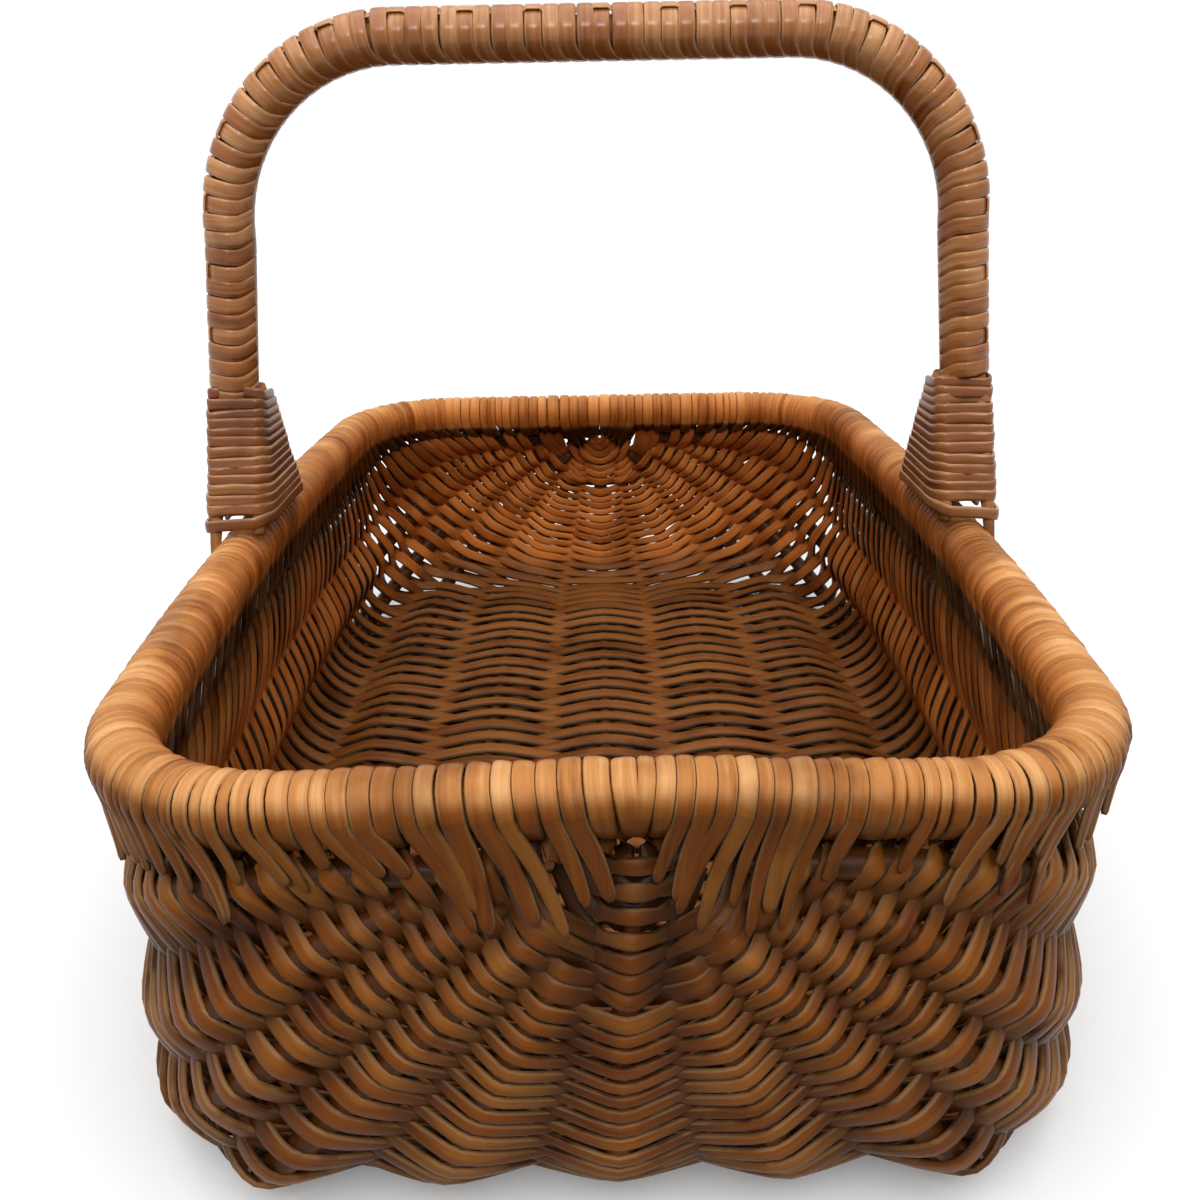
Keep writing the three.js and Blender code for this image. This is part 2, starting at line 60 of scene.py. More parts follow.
# Ribs: eleven round willow rods with tapered ends, which meet in a fan under the rim at each end
# and are held by the weave. The six at the sides run along the walls, and the five in the middle
# turn under to carry the floor.
rim_height = 136.2
half_span = 150.0
half_length = 240.0
corner_radius = 54.0
side_bow = 12.0
body_depth = 128.0
fan_drop = 18.0
fan_stand_off = 4.0
end_bulge = 20.0
end_bulge_drop = 60.0
floor_corner = 24.0
floor_rib_step = 57.0
floor_rib_fan = 0.8
side_rib_drops = {3: 124.0, 4: 89.0, 5: 46.0}
side_rib_fans = {3: 1.6, 4: 2.2, 5: 6.0}
fan_shift = 8.0
fan_shift_reach = 150.0
last_floor_rib = 2
last_rib = 5
rim = 6
rim_crown = 2.5
rim_crown_reach = 55.0
end_steps = 48
corner_steps = 60
side_steps = 33
floor_turn_steps = 32
floor_steps = 49


def end_bulge_at(z):
    """How far the rods of an end wall stand out past the rim, at a height below the rim."""
    drop = np.clip((-fan_drop - z) / end_bulge_drop, 0, 1)
    return fan_stand_off + (end_bulge - fan_stand_off) * np.sin(drop * math.pi / 2)


def half_of_side_rod(rod):
    """A side rib or the rim's rod, from the middle of the front end to the middle of a side."""
    straight = half_span - corner_radius
    side_start = -half_length + corner_radius
    turn = np.linspace(0, math.pi / 2, corner_steps, endpoint=False)
    end_x = np.linspace(0, straight, end_steps, endpoint=False)
    corner_x = straight + corner_radius * np.sin(turn)
    corner_y = side_start - corner_radius * np.cos(turn)
    side_y = np.linspace(side_start, 0, side_steps)
    x = np.concatenate([end_x, corner_x, np.full(side_steps, half_span)])
    y = np.concatenate([np.full(end_steps, -half_length), corner_y, side_y])
    facing = np.concatenate([np.ones(end_steps), np.cos(turn), np.zeros(side_steps)])
    if rod == rim:
        return np.stack([x, y, np.zeros(len(x))], axis=1)
    drop = side_rib_drops[rod]
    z = -fan_drop - (drop - fan_drop) * np.minimum(1, x / half_span) ** side_rib_fans[rod]
    return np.stack([x, y - end_bulge_at(z) * facing, z], axis=1)


def half_of_floor_rod(rod):
    """A rib of the floor, down the front end, round its turn and on to the middle of the floor."""
    edge = body_depth - floor_corner
    corner_y = -half_length - end_bulge + floor_corner
    turn = np.linspace(0, math.pi / 2, floor_turn_steps, endpoint=False)
    wall_z = np.linspace(-fan_drop, -edge, end_steps, endpoint=False)
    wall_y = -half_length - end_bulge_at(wall_z)
    turn_y = corner_y - floor_corner * np.cos(turn)
    turn_z = -edge - floor_corner * np.sin(turn)
    y = np.concatenate([wall_y, turn_y, np.linspace(corner_y, 0, floor_steps)])
    z = np.concatenate([wall_z, turn_z, np.full(floor_steps, -body_depth)])
    share = np.maximum(0, -fan_drop - z) / (body_depth - fan_drop)
    return np.stack([floor_rib_step * rod * share ** floor_rib_fan, y, z], axis=1)


def run_along(path):
    """How far along a path each of its points lies."""
    return np.concatenate([[0], np.cumsum(np.linalg.norm(np.diff(path, axis=0), axis=1))])


def spot_along(path, run, length):
    return np.array([np.interp(length, run, path[:, k]) for k in range(3)])


half_rods = []
for rod in range(rim + 1):
    path = half_of_floor_rod(rod) if rod <= last_floor_rib else half_of_side_rod(rod)
    path[:, 0] *= 1 + side_bow / half_span * np.maximum(0, 1 - (path[:, 1] / half_length) ** 2)
    path[:, 2] += rim_height
    half_rods.append((path, run_along(path)))


def place_on_rod(rod, length, at_front):
    """A point on a rod at a distance from the pole. Rods to the left have minus numbers."""
    path, run = half_rods[abs(rod)]
    spot = spot_along(path, run, length)
    if rod < 0:
        spot[0] = -spot[0]
    if at_front:
        spot[0] += fan_shift * max(0, 1 - length / fan_shift_reach) ** 2
    if at_front and abs(rod) == rim:
        spot[2] += rim_crown * math.exp(-(length / rim_crown_reach) ** 2)
    return spot


def at_end(at_front):
    """The back half of the basket is laid as the front half and mirrored."""
    return (1, 1 if at_front else -1, 1)


def unit(vector):
    shortest = 1e-9
    return vector / np.maximum(np.linalg.norm(vector, axis=-1, keepdims=True), shortest)


millimetre = 0.001
seam_gap = 1e-6
roll_waves = 9
roll_shift = 40
grain_shift_along = 7
grain_shift_across = 3
outer_face_from = -0.1


def lay_strand(
        mesh, path, facing, halves, section, tone,
        inward=(0.0, 0.0), exposure=(1.0, 1.0), roll=0.0):
    """One rod or splint along a path. A flat grid is closed round the section and bent along the path.
    Halves are its half width and its half thickness out and in. Inward says how much a face has the
    colour of the basket's inside, and exposure how much light reaches it, which the finish paints into
    its colour as shade: each for the outer face, then for the inner one."""
    stations = len(path)
    sides = len(section)
    facing = np.broadcast_to(facing, (stations, 3))
    halves = np.broadcast_to(halves, (stations, 3))
    inward = [np.broadcast_to(face, stations) for face in inward]
    exposure = [np.broadcast_to(face, stations) for face in exposure]
    along = unit(np.gradient(path, axis=0))
    up = unit(facing - along * np.sum(facing * along, axis=1, keepdims=True))
    across = np.cross(along, up)
    turn = roll * np.sin(np.linspace(0, roll_waves, stations) + roll_shift * tone)
    turned_up = up * np.cos(turn)[:, None] + across * np.sin(turn)[:, None]
    turned_across = across * np.cos(turn)[:, None] - up * np.sin(turn)[:, None]
    run = run_along(path)
    around = run_along(np.concatenate([section, section[:1]]))
    grid = bmesh.ops.create_grid(
        mesh, x_segments=sides, y_segments=stations - 1, size=1, calc_uvs=True)["verts"]
    lay = mesh.verts.layers.float_color["lay"]
    grain = mesh.loops.layers.uv["grain"]
    for n in range(stations):
        for k in range(sides + 1):
            wide, high = section[k % sides]
            thick = halves[n][1] if high > 0 else halves[n][2]
            spot = path[n] + turned_across[n] * wide * halves[n][0] + turned_up[n] * high * thick
            face = 0 if high >= outer_face_from else 1
            vert = grid[n * (sides + 1) + k]
            vert.co = spot * millimetre
            vert[lay] = (tone, inward[face][n], 1 - abs(wide), exposure[face][n])
    for number, vert in enumerate(grid):
        n, k = divmod(number, sides + 1)
        grain_along = run[n] * millimetre + tone * grain_shift_along
        grain_across = around[k] * halves[n][0] * millimetre + tone * grain_shift_across
        for loop in vert.link_loops:
            loop[grain].uv = (grain_along, grain_across)
    bmesh.ops.remove_doubles(mesh, verts=grid, dist=seam_gap)


def new_strands():
    mesh = bmesh.new()
    mesh.verts.layers.float_color.new("lay")
    mesh.loops.layers.uv.new("grain")
    return mesh


def finish_strands(mesh, name, finish, replaced):
    """Caps the ends of the strands and makes them one piece, in place of its nodes."""
    open_ends = [edge for edge in mesh.edges if edge.is_boundary]
    bmesh.ops.holes_fill(mesh, edges=open_ends, sides=0)
    bmesh.ops.recalc_face_normals(mesh, faces=mesh.faces)
    for face in mesh.faces:
        face.smooth = len(face.verts) == 4
    data = bpy.data.meshes.new(name)
    mesh.to_mesh(data)
    mesh.free()
    data.materials.append(finish)
    piece = bpy.data.objects.new(name, data)
    bpy.context.collection.objects.link(piece)
    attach(piece, "root")
    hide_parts(*replaced)


def srgb(*channels):
    """The linear colour that a material takes, from channels of 0 to 255."""
    shares = [channel / 255 for channel in channels]
    linear = [((share + 0.055) / 1.055) ** 2.4 if share > 0.04045 else share / 12.92 for share in shares]
    return (*linear, 1)


untinted = (1.0, 1.0, 1.0, 1)
# Tints that multiply a strand's colour as painted shade, from full painted shade to half of it.
shaded_outside_tint = (0.03, 0.02, 0.012, 1)
half_shaded_outside_tint = (0.38, 0.265, 0.12, 1)
shaded_inside_tint = (0.16, 0.165, 0.185, 1)
half_shaded_inside_tint = (0.41, 0.44, 0.48, 1)
# The tint and width of the painted shade along a strand's edges.
edge_shade_tint = (0.12, 0.09, 0.06, 1)
stain_tint = (0.5, 0.42, 0.36, 1)
outside_stops = (0.34, 0.6, 0.9)
inside_stops = (0.36, 0.82)
edge_shade_width = 0.36
worn_width = 0.3
worn_steepness = 4.5
rubbed_from = 0.34
rubbed_steepness = 5
least_wear = 0.12
wear_in_light = 0.45
stain_strength = 0.8
relief_strength = 0.35
relief_height = 0.0005


def cane_finish(name, outside, inside, edge, roughness=0.38, shine=0.1):
    """Oiled willow: each strand has its own tone, fibres run along it and its cut edges are paler. Shade
    is
    also painted into its colour: it is darker where its exposure is low, with painted shade along its
    edges there, and its pale edges fade there. Outside and inside are its tones, from dark to light."""
    material = bpy.data.materials.new(name)
    material.use_nodes = True
    nodes = material.node_tree.nodes
    links = material.node_tree.links
    shader = nodes["Principled BSDF"]
    shader.inputs["Roughness"].default_value = roughness
    shader.inputs["Specular IOR Level"].default_value = shine

    def node(kind, **settings):
        made = nodes.new(kind)
        for key, value in settings.items():
            setattr(made, key, value)
        return made

    def fill(socket, value):
        if isinstance(value, (int, float, tuple)):
            socket.default_value = value
        else:
            links.new(value, socket)

    def blotches(vector, scale, detail):
        noise = node("ShaderNodeTexNoise")
        noise.inputs["Scale"].default_value = scale
        noise.inputs["Detail"].default_value = detail
        links.new(vector, noise.inputs["Vector"])
        return noise.outputs["Fac"]

    def fibres(along, across, detail):
        stretch = node("ShaderNodeMapping")
        stretch.inputs["Scale"].default_value = (along, across, 1)
        links.new(grain.outputs["UV"], stretch.inputs["Vector"])
        return blotches(stretch.outputs["Vector"], 1, detail)

    def arithmetic(operation, first, second, clamp=False):
        made = node("ShaderNodeMath", operation=operation, use_clamp=clamp)
        fill(made.inputs[0], first)
        fill(made.inputs[1], second)
        return made.outputs[0]

    def weighed(*shares):
        """The sum of some sockets, each with its weight."""
        total = 0
        for socket, weight in shares:
            total = arithmetic("ADD", total, arithmetic("MULTIPLY", socket, weight))
        return total

    def rising(first, second, steepness):
        """How far the first is above the second, made steeper and kept from nought to one."""
        return arithmetic("MULTIPLY", arithmetic("SUBTRACT", first, second, True), steepness, True)

    def ramp(factor, *stops):
        made = node("ShaderNodeValToRGB")
        made.color_ramp.interpolation = "EASE"
        for spare in range(len(stops) - 2):
            made.color_ramp.elements.new(0.5)
        for element, (position, colour) in zip(made.color_ramp.elements, stops):
            element.position = position
            element.color = colour
        links.new(factor, made.inputs["Fac"])
        return made.outputs["Color"]

    def blend(factor, first, second, kind="MIX"):
        made = node("ShaderNodeMix", data_type="RGBA", blend_type=kind)
        fill(made.inputs[0], factor)
        fill(made.inputs[6], first)
        fill(made.inputs[7], second)
        return made.outputs[2]

    grain = node("ShaderNodeUVMap", uv_map="grain")
    place = node("ShaderNodeTexCoord")
    lay = node("ShaderNodeAttribute", attribute_name="lay")
    parts = node("ShaderNodeSeparateColor")
    links.new(lay.outputs["Color"], parts.inputs["Color"])
    tone, inward, crown = parts.outputs
    lit_share = lay.outputs["Alpha"]

    broad = fibres(along=26, across=420, detail=3)
    fine = fibres(along=60, across=2600, detail=2)
    mottle = blotches(place.outputs["Object"], scale=55, detail=4)
    stain = blotches(place.outputs["Object"], scale=16, detail=5)
    mixed = weighed((tone, 0.3), (broad, 0.54), (mottle, 0.34), (fine, 0.16))

    # Painted shade: the outside and inside colours are multiplied darker where the strand's exposure is
    # low.
    outside_colour_and_shade = ramp(mixed, *zip(outside_stops, outside))
    painted_shade = ramp(lit_share, (0.0, shaded_outside_tint), (0.3, half_shaded_outside_tint), (1.0, untinted))
    outside_colour_and_shade = blend(1.0, outside_colour_and_shade, painted_shade, "MULTIPLY")
    inside_colour_and_shade = ramp(mixed, *zip(inside_stops, inside))
    painted_shade = ramp(lit_share, (0.0, shaded_inside_tint), (0.35, half_shaded_inside_tint), (1.0, untinted))
    inside_colour_and_shade = blend(1.0, inside_colour_and_shade, painted_shade, "MULTIPLY")
    colour = blend(inward, outside_colour_and_shade, inside_colour_and_shade)

    # Painted shade along each strand's edges, only where its exposure is low.
    edge_shade = ramp(crown, (0.0, edge_shade_tint), (edge_shade_width, untinted))
    edge_shade = blend(lit_share, edge_shade, untinted)
    colour = blend(1.0, colour, edge_shade, "MULTIPLY")

    rubbed = rising(mottle, rubbed_from, rubbed_steepness)
    worn = arithmetic("MULTIPLY", rising(worn_width, crown, worn_steepness), rubbed)
    worn = arithmetic("MULTIPLY", worn, arithmetic("SUBTRACT", 1, inward))
    # The pale worn edges also fade where the exposure paints shade.
    wear_in_painted_light = arithmetic("ADD", least_wear, arithmetic("MULTIPLY", lit_share, wear_in_light))
    colour = blend(arithmetic("MULTIPLY", worn, wear_in_painted_light), colour, edge)

    stained = ramp(stain, (0.34, stain_tint), (0.46, untinted))
    colour = blend(stain_strength, colour, stained, "MULTIPLY")
    links.new(colour, shader.inputs["Base Color"])

    bump = node("ShaderNodeBump")
    bump.inputs["Strength"].default_value = relief_strength
    bump.inputs["Distance"].default_value = relief_height
    links.new(weighed((broad, 0.7), (fine, 0.3)), bump.inputs["Height"])
    links.new(bump.outputs["Normal"], shader.inputs["Normal"])
    return material


rib_finish = cane_finish(
    "peeled_rods",
    outside=(srgb(84, 46, 18), srgb(132, 82, 40), srgb(160, 108, 60)),
    inside=(srgb(80, 38, 12), srgb(120, 68, 32)),
    edge=srgb(150, 105, 62))

rod_sides = 10
rod_turns = np.arange(rod_sides) / rod_sides * 2 * math.pi
rod_section = np.array([(math.cos(turn), math.sin(turn)) for turn in rod_turns])
rib_radius = 4.75
rib_tip_radius = 2.4
rib_taper = 30.0
rib_tip_starts = [12.0, 36.0, 24.0, 36.0, 62.0, 30.0]
rib_first_step = 4.0
rib_steps = 48
rib_facing = (0.02, 0.03, 1.0)
rib_tone = 0.5
rib_tone_step = 0.05

for rib in range(-last_rib, last_rib + 1):
    tip = rib_tip_starts[abs(rib)]
    reach = half_rods[abs(rib)][1][-1]
    lengths = np.concatenate([[tip], np.linspace(tip + rib_first_step, reach, rib_steps)])
    front = [place_on_rod(rib, length, True) for length in lengths]
    back = [place_on_rod(rib, length, False) * at_end(False) for length in lengths[:-1]]
    thick = rib_tip_radius + (rib_radius - rib_tip_radius) * np.minimum(1, (lengths - tip) / rib_taper)
    thick = np.concatenate([thick, thick[-2::-1]])
    mesh = new_strands()
    lay_strand(
        mesh, np.array(front + back[::-1]), rib_facing, thick[:, None], rod_section,
        rib_tone + rib * rib_tone_step, inward=(0.3, 0.5), exposure=(0.2, 0.6))
    side = "middle" if rib == 0 else ("left_" if rib < 0 else "right_") + str(abs(rib))
    finish_strands(mesh, "rod_" + side, rib_finish, ["rib_" + side])


# Rim: one thicker willow rod, bent into a rounded oblong hoop. The ends of all the rows are wrapped
# round it, and hide all but slivers of it.
rim_radius = 8.0
rim_steps = 141

hoop = []
for towards, at_front in ((1, True), (1, False), (-1, False), (-1, True)):
    lengths = np.linspace(0, half_rods[rim][1][-1], rim_steps)
    outward = (towards > 0) == at_front
    for length in (lengths if outward else lengths[::-1])[:-1]:
        hoop.append(place_on_rod(towards * rim, length, at_front) * at_end(at_front))
hoop = np.array(hoop + hoop[:1])
mesh = new_strands()
lay_strand(mesh, hoop, (0, 0, 1.0), rim_radius, rod_section, tone=0.5, inward=(0.5, 0.5))
finish_strands(mesh, "rim_rod", rib_finish, ["rim_hoop"])


# Weave: half-round willow splints, each laid from rim to rim under the floor, outside one rib and
# inside the next. Both ends come up inside the rim, go over it and stop outside. At the two poles
# the rows hang in close curves below the rim, with short filler rows between them.
rows_per_half = 75
fan_rows = 15
hanging_rows = 7
courses = 15
course_rows = 8
crowding_steps = 200
crowding_places = [0, 0.09, 0.12, 0.35, 0.5, 0.65, 1]
middle_crowding = [1.1, 1.1, 0.52, 0.58, 0.8, 1.36, 1.36]
rim_crowding = [1.32, 1.28, 1.1, 0.94, 0.94, 0.94, 0.94]
fan_power = 2.6
corner_start = 0.35
corner_share = 0.4
wrap_unevenness = 0.2
least_wrap_share = 0.62
most_wrap_share = 1.4
chance = np.random.default_rng(7)


def crowded_run(crowding):
    """How far along a rod the rows lie that are crowded so, as shares of its half."""
    rate = np.interp(np.linspace(0, 1, crowding_steps + 1), crowding_places, crowding)
    run = np.concatenate([[0], np.cumsum((rate[1:] + rate[:-1]) / 2)])
    return run / run[-1]


middle_run = crowded_run(middle_crowding)
rim_run = crowded_run(rim_crowding)


def share_of_rod(share, run):
    return np.interp(share * crowding_steps, range(crowding_steps + 1), run)


def held(value, low=0.0, high=1.0):
    return min(high, max(low, value))


def smooth(share):
    share = held(share)
    return share * share * (3 - 2 * share)


def fuller(value, power):
    """A circle's sine or cosine, moved out towards those of a rounded square."""
    return math.copysign(abs(value) ** power, value)


def row_length(rod, share):
    """How far from the pole a row crosses a rod, for a row at a share of its half."""
    away = (abs(rod) / rim) ** fan_power
    middle, side, whole = (half_rods[k][1][-1] for k in (0, rim, abs(rod)))
    at_middle = middle * share_of_rod(share, middle_run)
    at_rim = side * share_of_rod(share, rim_run)
    spare = whole - middle * (1 - away) - side * away
    return at_middle * (1 - away) + at_rim * away + spare * smooth((share - corner_start) / corner_share)


def wrap_places():
    """The middles and the widths of the wraps along a quarter of the rim."""
    edges = share_of_rod(np.arange(rows_per_half + 1) / rows_per_half, rim_run)
    uneven = chance.normal(1, wrap_unevenness, rows_per_half)
    widths = np.diff(edges) * np.clip(uneven, least_wrap_share, most_wrap_share)
    widths *= half_rods[rim][1][-1] / widths.sum()
    return np.cumsum(widths) - widths / 2, widths


wraps = {(to_right, at_front): wrap_places() for to_right in (False, True) for at_front in (True, False)}

splint_sides = 12
splint_side_fullness = 0.75
splint_back_fullness = 0.65
splint_section = []
for turn in np.arange(splint_sides) / splint_sides * 2 * math.pi - math.pi / 2:
    wide = fuller(math.cos(turn), splint_side_fullness)
    high = fuller(math.sin(turn), splint_back_fullness)
    splint_section.append((wide, high))
splint_section = np.array(splint_section)

splint_crown = 1.35
splint_back = 1.0
narrow_splint = 3.6
wide_splint = 6.7
wide_floor_splint = 8.4
splint_unevenness = 0.3
narrow_waist = 3.0
waist_share = 0.68
widest_waist_share = 0.96
narrow_wrap = 3.0
wide_wrap = 7.4
wrap_fit = 0.98
wrap_waist_share = 0.66
column_half = 11.0
filler_gap = 3.0
nearest_to_pole = 0.5
hanging_pitch_share = 0.55
look_ahead = 2.0
cover = 1.5
close_cover = 0.36
close_rows = 10
close_from = 0.4
close_over = 0.15
back_closeness = 0.8
floor_from = 0.45
floor_over = 0.2
floor_thickening = 0.35
straight_at_pole = 0.85
straight_loss = 0.35
straight_from = 0.15
straight_over = 0.35
seating = 0.88
least_seat = 0.7
seat_before_tip = 12
seat_over = 20


def is_filler(place):
    """A filler hangs between two rows of the fan and has no wrap of its own on the rim."""
    return place % 1 > 0


def share_of_half(place):
    return (place + 0.5) / rows_per_half


class Crossing:
    """Where a row meets one rod: its place, its directions, its widths and the side it passes."""

    def __init__(self, rod, place, at_front):
        self.rod = rod
        self.on_rim = abs(rod) == rim
        share = share_of_half(place)
        half_row = 0.5 / rows_per_half
        if self.on_rim:
            middles, widths = wraps[rod > 0, at_front]
            self.length = np.interp(place, range(rows_per_half), middles)
            if is_filler(place):
                self.length = max(self.length, column_half + filler_gap + place)
            pitch = widths[int(place)]
        else:
            wander = chance.normal(0, splint_unevenness)
            self.length = max(nearest_to_pole, row_length(rod, share) + wander)
            pitch = row_length(rod, min(1, share + half_row)) - row_length(rod, max(0, share - half_row))
            pitch *= hanging_pitch_share if place < hanging_rows else 1
        first = max(0, self.length - look_ahead)
        last = self.length + look_ahead
        step = place_on_rod(rod, last, at_front) - place_on_rod(rod, first, at_front)
        self.spot = place_on_rod(rod, self.length, at_front)
        self.along = unit(step)
        openness = smooth((share - floor_from) / floor_over) if abs(rod) < last_rib else 0
        if self.on_rim:
            stretch = np.linalg.norm(step) / (last - first)
            self.width = np.clip(pitch * stretch * wrap_fit, narrow_wrap, wide_wrap) / 2
            self.waist = self.width * wrap_waist_share
        else:
            widest = wide_splint + (wide_floor_splint - wide_splint) * openness
            closeness = 1 if place < close_rows else (0 if at_front else back_closeness)
            closeness = max(closeness, smooth((share - close_from) / close_over))
            full = pitch * (cover + close_cover * closeness)
            uneven = full + chance.normal(0, splint_unevenness)
            self.width = np.clip(uneven, narrow_splint, widest) / 2
            self.waist = np.clip(full * waist_share, narrow_waist, widest * widest_waist_share) / 2
        self.thicken = 1 + floor_thickening * openness
        self.straight = straight_at_pole - straight_loss * smooth((share - straight_from) / straight_over)

    def set_side(self, side):
        """Passes the rod outside, with a side of 1, or inside, with -1, and lies against it."""
        self.side = side
        self.offset = 0
        if self.on_rim:
            return
        past_tip = self.length - rib_tip_starts[int(abs(self.rod))]
        grown = min(1, max(0, past_tip) / rib_taper)
        thick = rib_tip_radius + (rib_radius - rib_tip_radius) * grown
        shell = (splint_back if side > 0 else splint_crown) * self.thicken
        seat = held((past_tip + seat_before_tip) / seat_over, least_seat)
        self.offset = side * (thick + shell) * seat * seating


tip_cover = 4.0
closest_ribs = 12.0
beside_middle = 0.5
filler_lift = 7.5
lifted_fillers = 4
dive_rise = 1.5
dive_spread = 0.4
rim_approach = 0.7


def meet_rods(place, at_front, parity):
    """The crossings of a row from rim to rim, with the ribs left out that begin further on. A filler
    also dips inside on both sides of the middle rib."""
    share = share_of_half(place)
    crossings = [Crossing(0, place, at_front)]
    if is_filler(place):
        lift = filler_lift * max(0, 1 - place / lifted_fillers)
        crossings[0].spot[2] += lift
        for towards in (-1, 1):
            dive = Crossing(0, place, at_front)
            dive.spot[0] += towards * (column_half + dive_spread * place)
            dive.spot[2] += dive_rise + dive_spread * place + lift
            dive.rod = towards * beside_middle
            crossings.insert(0 if towards < 0 else 2, dive)
    for towards in (-1, 1):
        for rod in range(towards, towards * rim, towards):
            crossing = Crossing(rod, place, at_front)
            last = crossings[0 if towards < 0 else -1]
            apart = np.linalg.norm(crossing.spot - last.spot) > closest_ribs
            if apart and row_length(rod, share) > rib_tip_starts[abs(rod)] - tip_cover:
                crossings.insert(0 if towards < 0 else len(crossings), crossing)
    crossings = [Crossing(-rim, place, at_front)] + crossings + [Crossing(rim, place, at_front)]
    middle = [crossing.rod for crossing in crossings].index(0)
    for n, crossing in enumerate(crossings):
        before = crossings[max(n - 1, 0)] if crossing.rod != -last_floor_rib else crossing
        after = crossings[min(n + 1, len(crossings) - 1)] if crossing.rod != last_floor_rib else crossing
        crossing.across = unit(after.spot - before.spot)
        if crossing.on_rim:
            upright = np.array((0, 0, 1.0 if crossing.rod > 0 else -1.0))
            crossing.out = unit(np.cross(crossing.along, upright))
            crossing.across = unit(upright * rim_approach + crossing.across)
        else:
            crossing.out = unit(np.cross(crossing.along, crossing.across))
        always_inside = crossing.on_rim or abs(crossing.rod) == beside_middle
        outside = (parity + n - middle) % 2 == 0 and not always_inside
        crossing.set_side(1 if outside else -1)
    return crossings


wrap_radius = 10.45
wrap_lift = 0.3
wrap_lean = 1.6
wrap_lean_from = 0.9
wrap_light = 0.1
wrap_light_gain = 1.12
least_wrap_light = 0.2
wrap_start = 214
wrap_steps = 15
filler_stop = 198
filler_steps = 3
filler_sink = 2.2
pole_reach = 62
blunt_by_pole = 0.16
blunt_at_end = 0.33
blunt_at_side = 0.67
side_blunting = 2.5
corner_turn = 1.8
blunt_angle = -60
blunt_angle_spread = (-12, 6)
free_angle = -14
free_angle_fall = 36
wall_stand_off = 7.8
wall_meeting = 1.3
shortest_free_end = 3
free_end_lengths = (9, 24)
free_end_slants = (0.45, 0.95)
free_end_from = 0.3
free_end_over = 0.3
pole_end_length = 16
pole_end_gain = 0.45
pole_end_gain_reach = 24
pole_end_spread = (-4, 5)
pole_end_slants = (0.25, 0.6)
pole_end_overlap = 3
free_end_steps = (0.2, 0.4, 0.6, 0.8, 0.93, 1.0)
free_end_bend = 0.8
free_end_taper = 0.42
free_end_taper_power = 1.5
free_end_tilt = 0.12
free_end_light = 0.2
free_end_light_fall = 0.04
cut_share = 0.4


def rim_wrap(crossing, filler):
    """Points, facings, shares of the width and light round the rim, up from inside the wall, over
    and down outside it, to a blunt end or to a free one that lies along the wall."""
    up = np.array((0, 0, 1.0))
    away = crossing.length
    by_pole = away < pole_reach
    ahead = abs(crossing.out[1])
    to_side = 1 - min(1, corner_turn * ahead)
    share_of_blunt = blunt_at_end + blunt_at_side * min(1, side_blunting * to_side)
    if by_pole:
        share_of_blunt = blunt_by_pole
    blunt = away < column_half or chance.uniform(0, 1) < share_of_blunt
    radius = wrap_radius + chance.uniform(-wrap_lift, wrap_lift) - filler_sink * filler
    stop = free_angle - free_angle_fall * (1 - ahead)
    if blunt:
        stop = blunt_angle + chance.uniform(*blunt_angle_spread)
    if filler:
        stop = filler_stop
    spokes = []
    for angle in np.radians(np.linspace(wrap_start, stop, filler_steps if filler else wrap_steps)):
        spoke = crossing.out * math.cos(angle) + up * math.sin(angle)
        spot = crossing.spot + spoke * radius
        spot += crossing.along * (wrap_lean * min(0, angle - wrap_lean_from))
        light = held(wrap_light + wrap_light_gain * spoke[2], least_wrap_light)
        spokes.append((spot, spoke, 1.0, light if spoke @ crossing.out > 0 else 1))
    if blunt or filler:
        return spokes
    longer = chance.uniform(*free_end_lengths) - shortest_free_end
    length = shortest_free_end + longer * smooth((ahead - free_end_from) / free_end_over)
    slant = length * chance.uniform(*free_end_slants)
    if by_pole:
        gain = pole_end_gain * held(away - column_half, high=pole_end_gain_reach)
        length = pole_end_length + gain + chance.uniform(*pole_end_spread)
        slant = min(away - column_half + pole_end_overlap, length * chance.uniform(*pole_end_slants))
    point = spokes[-1][0]
    start = (point - crossing.spot) @ crossing.out
    for share in free_end_steps:
        depth = crossing.spot[2] - point[2] + length * share
        wall = ahead ** 2 * end_bulge_at(-depth) + wall_stand_off * (1 - to_side)
        out = start + (wall - start) * min(1, wall_meeting * share)
        spot = point + crossing.out * (out - start) - up * length * share
        spot -= crossing.along * slant * share ** free_end_bend
        thin = 1 - free_end_taper * share ** free_end_taper_power if share < 1 else cut_share
        light = free_end_light - free_end_light_fall * share
        spokes.append((spot, unit(crossing.out + up * free_end_tilt), thin, light))
    return spokes


hidden_face_light = 0.15
inside_colour_from = 0.15
inside_colour_gain = 1.2


def round_rim(crossing, spokes):
    """The stations of a wrap, each with its point, facing, half width, thickening, how much it has
    the colour of the inside, and the light on its two faces."""
    for point, spoke, share, light in spokes:
        inward = held(-inside_colour_from - inside_colour_gain * spoke @ crossing.out)
        yield point, spoke, crossing.width * share, 1, inward, (light, hidden_face_light)


long_span = 12
long_legs = 9
short_legs = 6
full_gaps = {(2, 3): 0.9, (3, 4): 0.75}
full_gap_share = 0.28
same_side_share = 0.92
waist_sharpness = 0.65
deepest_offset = 6.5
outside_light = 0.34
outside_light_fall = 1.7
inside_light = 0.97
inside_light_fall = 0.18
upward_light = 1.1
least_inside_light = 0.25
passing_inside = 0.25


